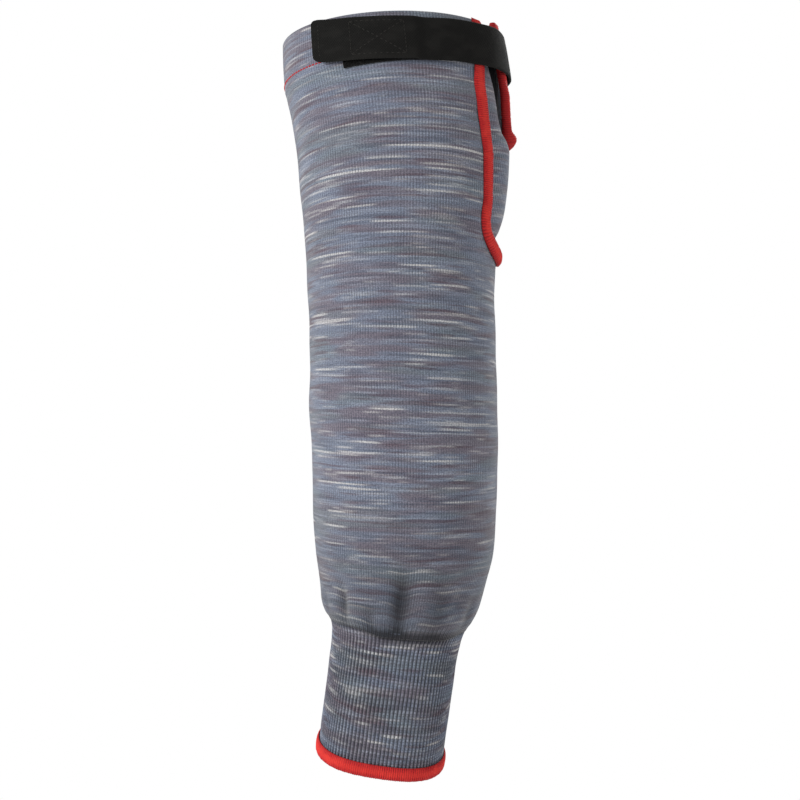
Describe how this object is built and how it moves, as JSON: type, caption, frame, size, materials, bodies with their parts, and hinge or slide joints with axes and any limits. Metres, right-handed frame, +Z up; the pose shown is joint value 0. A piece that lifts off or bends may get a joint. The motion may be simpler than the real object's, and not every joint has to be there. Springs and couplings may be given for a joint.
{
  "type": "cut resistant sleeve",
  "caption": "Marled knitted protective arm sleeve with a ribbed wrist cuff, red overlocked edges, a vent and a black touch-closure strap round the upper arm.",
  "frame": {"origin": "middle of the ring that the closure strap makes round the upper arm, where the sleeve sits on the arm", "axes": "+Z up the sleeve from wrist to upper arm, +X to the right across it towards the vent, -Y the front that the picture shows"},
  "size_m": [0.1453, 0.1377, 0.4738],
  "materials": {
    "marled_knit": "matt marled blue-grey jersey knit",
    "rib_knit": "matt marled blue-grey rib knit",
    "red_thread": "textured polyester overlock thread",
    "loop_pile": "brushed nylon loop",
    "hook_tape": "nylon hook tape",
    "webbing": "flat woven webbing"
  },
  "bodies": {
    "root": {"sleeve_body": "marled_knit", "vent_gusset": "marled_knit", "wrist_cuff": "rib_knit", "vent_overlock": "red_thread", "cuff_overlock": "red_thread", "loop_patch": "loop_pile", "hook_patch": "hook_tape", "closure_strap": "webbing"}
  },
  "joints": []
}
